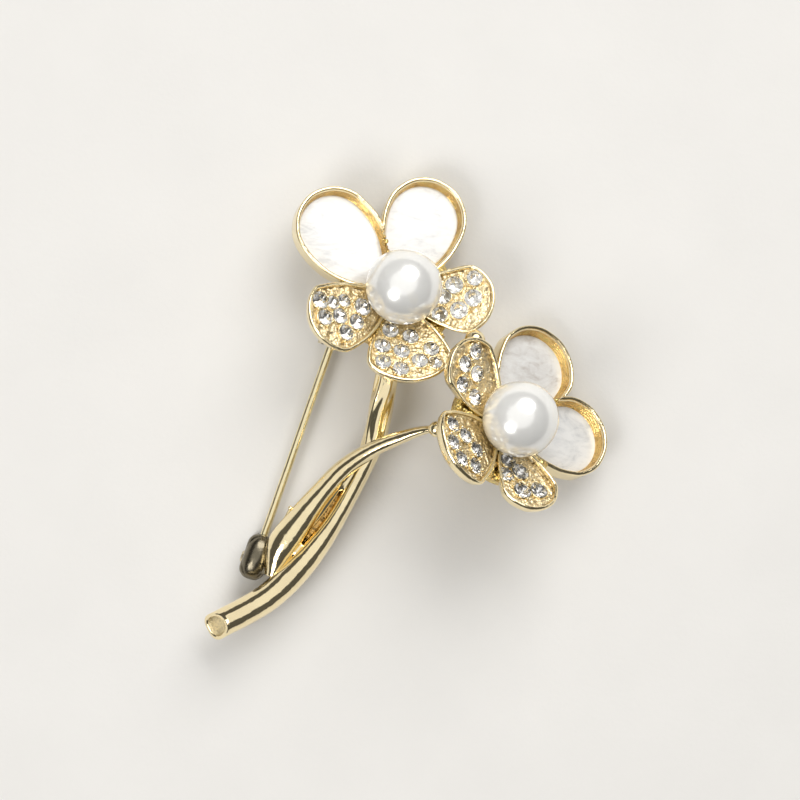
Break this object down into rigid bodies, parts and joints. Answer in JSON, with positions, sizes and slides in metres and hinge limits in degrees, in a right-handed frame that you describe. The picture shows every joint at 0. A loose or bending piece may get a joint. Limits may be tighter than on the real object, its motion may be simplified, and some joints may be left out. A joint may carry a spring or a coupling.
{
  "type": "flower brooch",
  "caption": "Spray brooch with two flowers of shell and stone-set petals around pearls, on crossed polished stems, with a hinged pin and a roller catch on the back.",
  "frame": {"origin": "centre of the bounding box in plan, at the height of the lowest point of the back", "axes": "+Y toward the upper flower, +X toward the lower flower, +Z out of the worn face; the pin lies under the back"},
  "size_m": [0.0428, 0.049, 0.0171],
  "materials": {
    "gold_polished": "pale gold plate, mirror polished",
    "gold_cup": "pale gold plate, polished walls with fine casting marks",
    "gold_cast": "gold plate over a grainy casting",
    "gold_fitting": "gold plate, satin",
    "pin_wire": "pale gold plated wire, polished",
    "pearl": "nacreous, soft gloss",
    "shell": "mother of pearl, polished",
    "stone": "clear faceted glass"
  },
  "bodies": {
    "setting": {"catch_housing": "gold_fitting", "catch_strap": "gold_fitting", "flower_bridge": "gold_polished", "hinge_lug": "gold_fitting", "hinge_rivet": "pin_wire", "lower_flower_hub": "gold_cast", "lower_pave_cup_bottom": "gold_cup", "lower_pave_cup_left": "gold_cup", "lower_pave_cup_top": "gold_cup", "lower_pave_stones_bottom": "stone", "lower_pave_stones_left": "stone", "lower_pave_stones_top": "stone", "lower_pearl": "pearl", "lower_pearl_peg": "gold_polished", "lower_shell_cup_right": "gold_cup", "lower_shell_cup_top": "gold_cup", "lower_shell_inlay_right": "shell", "lower_shell_inlay_top": "shell", "main_stem": "gold_polished", "side_stem": "gold_polished", "stem_back_plate": "gold_cast", "stem_boss": "gold_polished", "upper_flower_hub": "gold_cast", "upper_pave_cup_bottom": "gold_cup", "upper_pave_cup_left": "gold_cup", "upper_pave_cup_right": "gold_cup", "upper_pave_stones_bottom": "stone", "upper_pave_stones_left": "stone", "upper_pave_stones_right": "stone", "upper_pearl": "pearl", "upper_pearl_peg": "gold_polished", "upper_shell_cup_left": "gold_cup", "upper_shell_cup_right": "gold_cup", "upper_shell_inlay_left": "shell", "upper_shell_inlay_right": "shell"},
    "pin": {"pin_stem": "pin_wire"},
    "roller": {"catch_roller": "gold_fitting"}
  },
  "joints": [
    {"name": "pin_swing", "type": "hinge", "parent": "setting", "child": "pin", "pos_m": [-0.01583, -0.01617, 0.0017], "axis": [-0.9432, 0.3322, 0], "range_deg": [0, 70]},
    {"name": "catch_turn", "type": "hinge", "parent": "setting", "child": "roller", "pos_m": [-0.00726, 0.00817, 0.0017], "axis": [0.3322, 0.9432, 0], "range_deg": [0, 90]}
  ]
}
